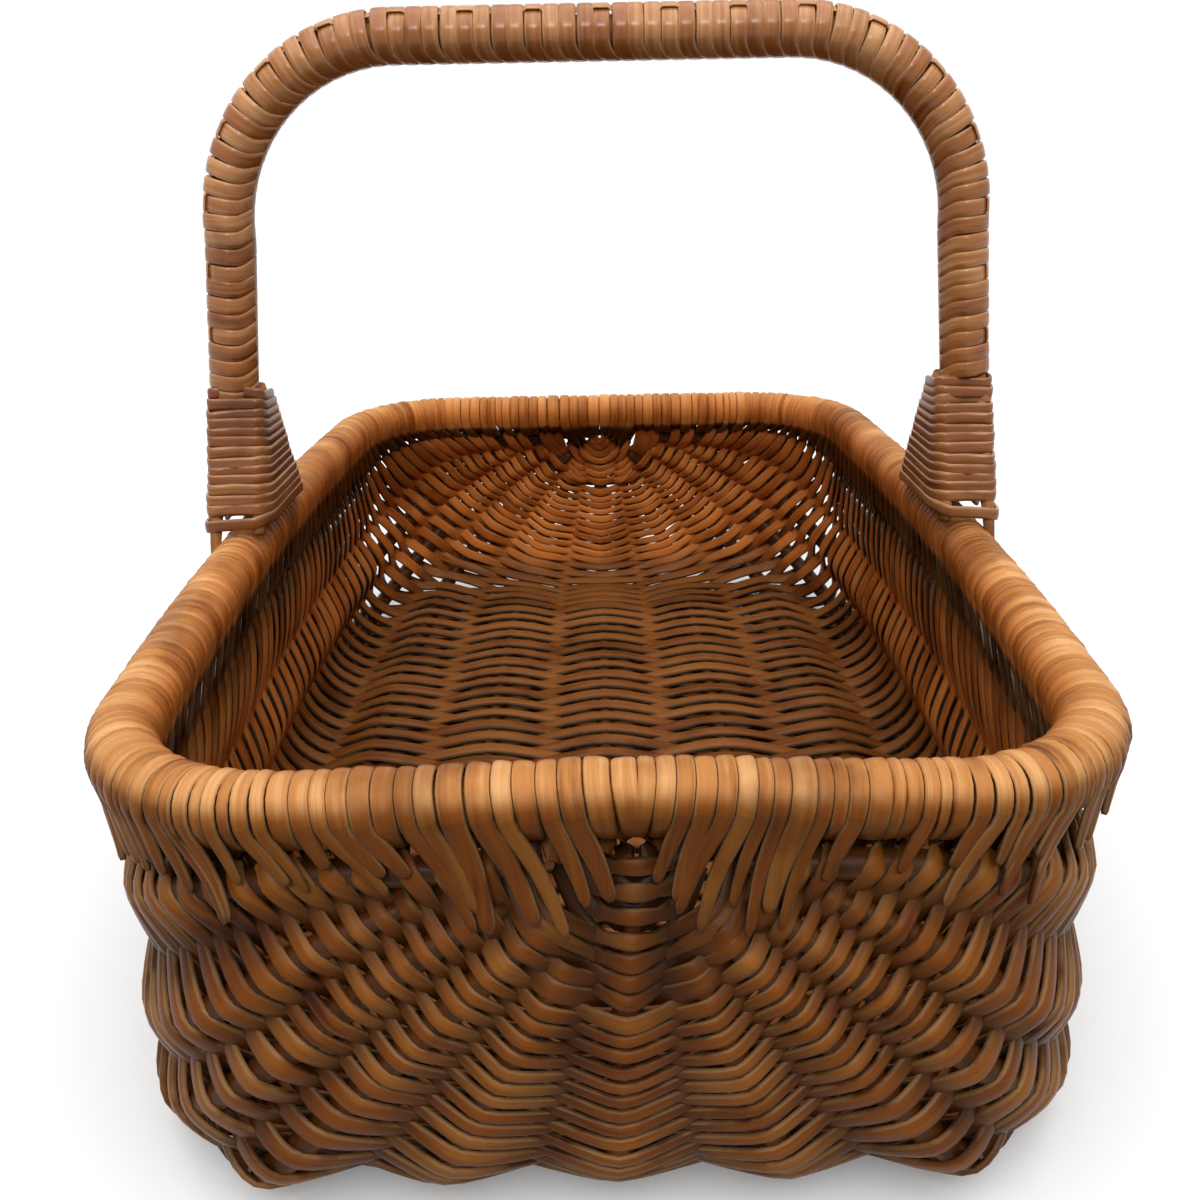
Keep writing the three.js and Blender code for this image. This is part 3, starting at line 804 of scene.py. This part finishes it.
def between_rods(here, there, start, end, curved):
    """The stations of a splint from one crossing to the next, as round_rim gives them for a wrap. It
    swings from one side of the rods to the other and is narrowest midway."""
    start, start_facing = start
    end, end_facing = end
    span = np.linalg.norm(end - start)
    full = full_gaps.get(tuple(sorted((abs(here.rod), abs(there.rod)))), 0)
    rounded = max(curved, full)
    waist = (here.waist + there.waist) / 2 * (1 + full_gap_share * full)
    if here.side == there.side:
        waist = (here.width + there.width) / 2 * same_side_share
    legs = long_legs if span > long_span else short_legs
    for leg in range(1 if here.on_rim else 0, legs):
        t = leg / legs
        chord = start * (1 - t) + end * t
        bow = (t ** 3 - 2 * t ** 2 + t) * span * here.across + (t ** 3 - t ** 2) * span * there.across
        bent = start * (2 * t ** 3 - 3 * t ** 2 + 1) + end * (3 * t ** 2 - 2 * t ** 3) + bow
        base = chord * (1 - rounded) + bent * rounded
        swing = here.straight * (1 - 2 * t) + (1 - here.straight) * math.cos(math.pi * t)
        offset = (here.offset + there.offset) / 2 + (here.offset - there.offset) / 2 * swing
        nearer = here if t < 0.5 else there
        at_rod = abs(math.cos(math.pi * t)) ** waist_sharpness
        width = waist + (nearer.width - waist) * at_rod
        thicken = here.thicken * (1 - t) + there.thicken * t
        facing = unit(start_facing * (1 - t) + end_facing * t)
        depth = offset / deepest_offset
        outer_light = outside_light * held((1 + depth) / 2) ** outside_light_fall
        inner_light = held(1 + upward_light * facing[2], least_inside_light)
        inner_light *= min(1, inside_light - inside_light_fall * depth)
        inward = passing_inside if nearer.side < 0 else 0.0
        yield base + facing * offset, facing, width, thicken, inward, (outer_light, inner_light)


flat_crown_share = 0.75
crown_gain = 0.25
usual_half_width = 3.5
cut_end_share = 0.7
row_roll = 0.09
least_curve = 0.12
fan_curve = 0.68
last_curved_row = fan_rows + 8
curve_over = 12


def lay_row(mesh, place, at_front, parity, tone):
    """One row of the weave, with a wrap on the rim at each end."""
    crossings = meet_rods(place, at_front, parity)
    first_wrap = rim_wrap(crossings[0], is_filler(place))
    last_wrap = rim_wrap(crossings[-1], is_filler(place))
    curved = least_curve + fan_curve * smooth((last_curved_row - place) / curve_over)
    stations = list(round_rim(crossings[0], first_wrap[::-1]))
    for here, there in zip(crossings[:-1], crossings[1:]):
        start = first_wrap[0][:2] if here.on_rim else (here.spot, here.out)
        end = last_wrap[0][:2] if there.on_rim else (there.spot, there.out)
        stations.extend(between_rods(here, there, start, end, curved))
    stations.extend(round_rim(crossings[-1], last_wrap))
    points, facings, widths, thickens, inwards, lights = (np.array(column) for column in zip(*stations))
    points[1:-1] = points[1:-1] * 0.5 + (points[:-2] + points[2:]) * 0.25
    crowns = splint_crown * (flat_crown_share + crown_gain * widths / usual_half_width) * thickens
    halves = np.stack([widths, crowns, splint_back * thickens], axis=1)
    halves[[0, -1]] *= cut_end_share
    lay_strand(
        mesh, points * at_end(at_front), unit(facings) * at_end(at_front), halves, splint_section,
        tone, inward=(inwards, 1.0), exposure=lights.T, roll=row_roll)


splint_finish = cane_finish(
    "oiled_splints",
    outside=(srgb(110, 60, 24), srgb(192, 127, 68), srgb(228, 172, 113)),
    inside=(srgb(138, 66, 16), srgb(208, 125, 58)),
    edge=srgb(226, 176, 120))


def lay_rows(name, first, last, replaced):
    """Some rows as one piece. Rows count from the front pole to the back one."""
    mesh = new_strands()
    for row in range(first, last + 1):
        at_front = row < rows_per_half
        place = row if at_front else 2 * rows_per_half - 1 - row
        hanging = place < hanging_rows
        lay_row(mesh, place, at_front, 1 if hanging else row, float(chance.uniform(0, 1)))
        if hanging:
            lay_row(mesh, place + 0.5, at_front, 0, float(chance.uniform(0, 1)))
    finish_strands(mesh, name, splint_finish, replaced)


lay_rows("woven_fan_front", 0, fan_rows - 1, ["fan_binding_front", "rim_lashing_front"])
for course in range(courses):
    first = fan_rows + course_rows * course
    number = str(course + 1).zfill(2)
    last = first + course_rows - 1
    lay_rows("woven_rows_" + number, first, last, ["woven_course_" + number])
last_row = 2 * rows_per_half - 1
fan_start = last_row - fan_rows + 1
lay_rows("woven_fan_back", fan_start, last_row, ["fan_binding_back", "rim_lashing_back"])


# Handle: a bent willow rod and a flat leader strip along its outer side, both lapped by a flat
# splint in close turns. The leader shows over one turn in four. The handle is fixed and can't swing.
handle_half = 156.5
handle_rise = 211.0
handle_rod_radius = 7.0
handle_rod_foot = 12.8
bend_radius = 76.0
handle_splay = 15.0
leg_steps = 39
bend_steps = 60
top_steps = 50
bend_start = rim_height + handle_rise - bend_radius
lapping_start = 67.0
bow_look_ahead = 4.0
bow_end_share = 0.02


def leg_x(z):
    return handle_half + handle_splay * max(0, bend_start - z) / (bend_start - rim_height)


def bow_line(start):
    """The middle of the handle's rod, from one leg at the height of the start over to the other."""
    right = [(leg_x(z), 0, z) for z in np.linspace(start, bend_start, leg_steps, endpoint=False)]
    for turn in np.linspace(0, math.pi / 2, bend_steps):
        x = handle_half - bend_radius * (1 - math.cos(turn))
        right.append((x, 0, bend_start + bend_radius * math.sin(turn)))
    flat_half = handle_half - bend_radius
    top = [(x, 0, bend_start + bend_radius) for x in np.linspace(flat_half, -flat_half, top_steps)[1:-1]]
    return np.array(right + top + [(-x, y, z) for x, y, z in right[::-1]])


bow = bow_line(rim_height + lapping_start)
bow_run = run_along(bow)


def bow_frame(length):
    """A point of the handle, the way along it there and the way out from the basket."""
    here = spot_along(bow, bow_run, length)
    ahead = spot_along(bow, bow_run, length + bow_look_ahead)
    behind = spot_along(bow, bow_run, length - bow_look_ahead)
    along = unit(ahead - behind)
    out = np.array((along[2], 0, -along[0]))
    near_foot = length > bow_run[-1] * (1 - bow_end_share) or length < bow_run[-1] * bow_end_share
    from_middle = here * (1, 0, 0) if near_foot else here - (0, 0, rim_height)
    if out @ from_middle < 0:
        out = -out
    return here, along, out


handle_finish = cane_finish(
    "lapped_splint",
    outside=(srgb(94, 46, 16), srgb(170, 104, 52), srgb(212, 154, 100)),
    inside=(srgb(90, 50, 26), srgb(130, 84, 50)),
    edge=srgb(216, 168, 120), roughness=0.24, shine=0.34)

lapping_turns = 79
lapping_radius = 9.35
lapping_half_thickness = 0.75
lapping_squareness = 0.035
lapping_overlap = 1.01
lapping_drift = 0.3
wound_tones = (0.1, 0.9)
lap_pitch = bow_run[-1] / lapping_turns
lap_steps = 24
slant_start = 0.36
slant_share = 0.34
leader_cycle = 4
leader_lift = 1.0
leader_lift_sharpness = 8
upper_front = np.array((0, -0.4, 0))
flat_section = np.array([
    (-1, 0.1), (-0.86, 0.8), (-0.4, 1), (0.4, 1),
    (0.86, 0.8), (1, 0.1), (0.86, -0.7), (-0.86, -0.7)])

mesh = new_strands()
drifts = chance.normal(0, lapping_drift, lapping_turns + 2)
for turn in range(lapping_turns):
    points = []
    facings = []
    for n in range(lap_steps + 1):
        over_leader = (turn + (2 * n > lap_steps)) % leader_cycle != leader_cycle - 1
        angle = 2 * math.pi * n / lap_steps
        slide = smooth((n / lap_steps - slant_start) / slant_share)
        drift = drifts[turn] * (1 - slide) + drifts[turn + 1] * slide
        here, along, out = bow_frame(float(np.clip(lap_pitch * (turn + slide) + drift, 0, bow_run[-1])))
        spoke = out * math.cos(angle) + np.array((0, 1.0, 0)) * math.sin(angle)
        radius = lapping_radius * (1 + lapping_squareness * math.cos(4 * angle))
        if over_leader:
            radius += leader_lift * max(0, spoke @ unit(out + upper_front)) ** leader_lift_sharpness
        points.append(here + spoke * radius)
        facings.append(spoke)
    halves = (lap_pitch / 2 * lapping_overlap, lapping_half_thickness, lapping_half_thickness)
    tone = float(chance.uniform(*wound_tones))
    lay_strand(mesh, np.array(points), np.array(facings), halves, flat_section, tone)
finish_strands(mesh, "handle_wound_splint", handle_finish, ["handle_lapping"])

leader_half_width = 2.6
leader_half_thickness = 0.5
leader_steps = 500
leader_sink = 0.35
leader_rise = 1.45
window_half = 0.62
window_edge = 0.2

mesh = new_strands()
points = []
facings = []
for length in np.linspace(0, bow_run[-1], leader_steps):
    here, along, out = bow_frame(length)
    up = unit(out + upper_front)
    turns_on = length / lap_pitch + (leader_cycle - 1)
    from_window = abs(turns_on % leader_cycle - leader_cycle / 2)
    shows = smooth((window_half - from_window) / window_edge)
    points.append(here + up * (lapping_radius - leader_sink + leader_rise * shows))
    facings.append(up)
halves = (leader_half_width, leader_half_thickness, leader_half_thickness)
lay_strand(mesh, np.array(points), np.array(facings), halves, flat_section, tone=0.7)
finish_strands(mesh, "handle_leader_strip", handle_finish, ["handle_leader"])

bow_finish = cane_finish(
    "handle_rod_willow",
    outside=(srgb(96, 56, 26), srgb(146, 94, 50), srgb(180, 124, 76)),
    inside=(srgb(80, 46, 22), srgb(110, 70, 40)),
    edge=srgb(170, 125, 82))
mesh = new_strands()
whole_bow = bow_line(rim_height + handle_rod_foot)
lay_strand(mesh, whole_bow, (0, 1.0, 0), handle_rod_radius, rod_section, tone=0.5)
finish_strands(mesh, "handle_rod", bow_finish, ["handle_bow"])


# Feet of the handle: at each foot four thin willow stakes splay down from the handle's rod past
# both sides of the rim. A flat splint is wound round them and the rod in a tapering block, whose
# turns lie unevenly.
stake_radius = 3.0
stake_tail_radius = 2.1
stake_top = 70.0
stake_clearance = 0.3
stake_steps = 9
outer_stake_tail = 28.0
inner_stake_tail = -12.0
outer_stake_tuck = 3.6
stake_top_half = 4.0
stake_foot_half = 40.0
outer_stake_x = 171.0
inner_stake_x = 151.0
stake_thins_from = 16
stake_thins_to = 4


def stake_spot(outer, z):
    """The middle of the right foot's outer or inner back stake at a height."""
    share = held((rim_height + stake_top - z) / stake_top)
    apart = handle_rod_radius + stake_clearance + stake_radius
    reach = math.sqrt(apart ** 2 - stake_top_half ** 2)
    top_x = leg_x(rim_height + stake_top) + (reach - outer_stake_tuck if outer else -reach)
    foot_x = outer_stake_x if outer else inner_stake_x
    y = stake_top_half + (stake_foot_half - stake_top_half) * share
    return np.array((top_x + (foot_x - top_x) * share, y, z))


foot_turns = 14
foot_steps = 40
foot_half_width = 2.7
foot_half_thickness = 1.1
foot_clearance = 0.3
foot_bottom = 14.9
foot_top_gap = 1.5
foot_tilt = 0.5
foot_bulge = 0.45
foot_ripple = 0.6
foot_ripple_share = 0.5
foot_bulge_across = 0.3
foot_step_start = 0.3
foot_step_share = 0.4
foot_corner_fullness = 2 / 6
foot_exposure = 0.62
lowest_turn_drop = 2.2
lowest_turn_width = 0.5
dips = (0.9, 2.4)
dip_half = 0.75

for side, side_name in ((-1, "left"), (1, "right")):
    for outer, outer_name in ((True, "outer"), (False, "inner")):
        for end, end_name in ((-1, "front"), (1, "back")):
            tail = outer_stake_tail if outer else inner_stake_tail
            heights = np.linspace(stake_top, -tail, stake_steps)
            path = np.array([stake_spot(outer, rim_height + z) * (side, end, 1) for z in heights])
            thins = (-stake_thins_from, -stake_thins_to)
            thick = np.interp(-heights, thins, (stake_radius, stake_tail_radius))
            mesh = new_strands()
            lay_strand(mesh, path, (0, 1.0, 0.1), thick[:, None], rod_section, tone=0.6)
            name = "_".join((side_name, outer_name, end_name))
            finish_strands(mesh, "foot_stake_" + name, bow_finish, ["stake_" + name])
    low = rim_height + foot_bottom
    high = rim_height + stake_top - foot_top_gap
    mesh = new_strands()
    tilts = chance.normal(0, foot_tilt, foot_turns + 2)
    bulges = chance.normal(0, foot_bulge, foot_turns + 2)
    for turn in range(foot_turns):
        points = []
        facings = []
        for n in range(foot_steps + 1):
            part = n / foot_steps
            angle = 2 * math.pi * n / foot_steps
            cosine = math.cos(angle)
            sine = math.sin(angle)
            tilt = tilts[turn] * (1 - part) + tilts[turn + 1] * part
            bulge = bulges[turn] * (1 - part) + bulges[turn + 1] * part
            lowest = (1 + cosine) * max(0, 1 - turn)
            climb = smooth((part - foot_step_start) / foot_step_share)
            z = low + (high - low) * (turn + climb) / foot_turns
            z = z + tilt * sine + (foot_ripple + tilt) * math.sin(2 * angle) * foot_ripple_share
            z -= lowest_turn_drop * lowest
            outer = stake_spot(True, z)
            inner = stake_spot(False, z)
            middle = (outer[0] + inner[0]) / 2
            half_x = (outer[0] - inner[0]) / 2 + stake_radius + foot_half_thickness + foot_clearance
            half_x = half_x + bulge * foot_bulge_across + lowest_turn_width * lowest
            half_y = outer[1] + stake_radius + foot_half_thickness + foot_clearance + bulge
            x = fuller(cosine, foot_corner_fullness)
            y = fuller(sine, foot_corner_fullness)
            dip = dips[turn % 2] * max(0, 1 - (x / dip_half) ** 2)
            points.append(((middle + half_x * x) * side, half_y * y - math.copysign(dip, y), z))
            facings.append(unit(np.array((cosine ** 3 * half_y * side, sine ** 3 * half_x, 0.0))))
        halves = (foot_half_width, foot_half_thickness, foot_half_thickness)
        tone = float(chance.uniform(*wound_tones))
        lay_strand(
            mesh, np.array(points), np.array(facings), halves, flat_section, tone,
            exposure=(foot_exposure, foot_exposure))
    name = "foot_wound_splint_" + side_name
    finish_strands(mesh, name, handle_finish, ["foot_winding_" + side_name])


# Studio: a white floor that keeps a soft shadow, broad light from above, and a camera that looks
# down a little at one end of the basket.
floor_size = 12.0
floor_for_light = 0.2
floor_for_camera = 0.96
floor_roughness = 0.9
sky_for_light = 0.08
overhead_strength = 3.2
overhead_spread = 1.5
overhead_tilt = -0.25
front_strength = 0.75
front_spread = 0.2
front_tilt = -0.87
camera_place = (-0.00102, -0.51912, 0.31343)
camera_lens = 34.72
camera_sensor = 36
camera_nearest = 0.01
camera_pitch = 0.3904
camera_yaw = -0.0012
camera_roll = 0.0197

floor_mesh = bmesh.new()
bmesh.ops.create_grid(floor_mesh, x_segments=1, y_segments=1, size=floor_size)
floor_data = bpy.data.meshes.new("studio_floor")
floor_mesh.to_mesh(floor_data)
floor_mesh.free()
floor = bpy.data.objects.new("studio_floor", floor_data)
bpy.context.collection.objects.link(floor)
floor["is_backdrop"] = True
floor_paper = bpy.data.materials.new("white_paper")
floor_paper.use_nodes = True
paper_nodes = floor_paper.node_tree.nodes
paper_links = floor_paper.node_tree.links
paper = paper_nodes["Principled BSDF"]
paper.inputs["Roughness"].default_value = floor_roughness
paper.inputs["Specular IOR Level"].default_value = 0.0


def seen_rays(nodes, links):
    """One for rays from the camera, from a mirror-like surface and through glass, otherwise nought."""
    rays = nodes.new("ShaderNodeLightPath")
    seen = rays.outputs["Is Camera Ray"]
    for kind in ("Is Glossy Ray", "Is Transmission Ray"):
        either = nodes.new("ShaderNodeMath")
        either.operation = "MAXIMUM"
        links.new(seen, either.inputs[0])
        links.new(rays.outputs[kind], either.inputs[1])
        seen = either.outputs[0]
    return seen


paper_tone = paper_nodes.new("ShaderNodeMix")
paper_tone.data_type = "RGBA"
paper_tone.inputs[6].default_value = (floor_for_light, floor_for_light, floor_for_light, 1)
paper_tone.inputs[7].default_value = (floor_for_camera, floor_for_camera, floor_for_camera, 1)
paper_links.new(seen_rays(paper_nodes, paper_links), paper_tone.inputs[0])
paper_links.new(paper_tone.outputs[2], paper.inputs["Base Color"])
floor_data.materials.append(floor_paper)

world = bpy.data.worlds.new("studio")
world.use_nodes = True
bpy.context.scene.world = world
sky_nodes = world.node_tree.nodes
sky_links = world.node_tree.links
sky = sky_nodes["Background"]
sky.inputs["Color"].default_value = (1, 1, 1, 1)
sky_level = sky_nodes.new("ShaderNodeMapRange")
sky_level.inputs["To Min"].default_value = sky_for_light
sky_level.inputs["To Max"].default_value = 1.0
sky_links.new(seen_rays(sky_nodes, sky_links), sky_level.inputs["Value"])
sky_links.new(sky_level.outputs[0], sky.inputs["Strength"])

for lamp_name, strength, spread, tilt in (
        ("overhead_light", overhead_strength, overhead_spread, overhead_tilt),
        ("front_light", front_strength, front_spread, front_tilt)):
    lamp = bpy.data.lights.new(lamp_name, "SUN")
    lamp.energy = strength
    lamp.angle = spread
    lamp_holder = bpy.data.objects.new(lamp_name, lamp)
    lamp_holder.location = (0, 0, 1)
    lamp_holder.rotation_euler = (-tilt, 0, 0)
    bpy.context.collection.objects.link(lamp_holder)

camera = bpy.data.cameras.new("camera")
camera.lens = camera_lens
camera.sensor_width = camera_sensor
camera.clip_start = camera_nearest
camera_holder = bpy.data.objects.new("camera", camera)
bpy.context.collection.objects.link(camera_holder)
camera_holder.location = camera_place
level = math.cos(camera_pitch)
forward = np.array((math.sin(camera_yaw) * level, math.cos(camera_yaw) * level, -math.sin(camera_pitch)))
right = np.array((math.cos(camera_yaw), -math.sin(camera_yaw), 0))
down = np.cross(forward, right)
right_rolled = math.cos(camera_roll) * right + math.sin(camera_roll) * down
down_rolled = math.cos(camera_roll) * down - math.sin(camera_roll) * right
turned = Matrix((right_rolled, -down_rolled, -forward)).transposed()
camera_holder.rotation_euler = turned.to_euler()
bpy.context.scene.camera = camera_holder
bpy.context.scene.view_settings.view_transform = "Standard"

dressed_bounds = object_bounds()
plain = {"cad": cad_bounds, "dressed": dressed_bounds}
{key: [list(map(float, corner)) for corner in box] for key, box in plain.items()}
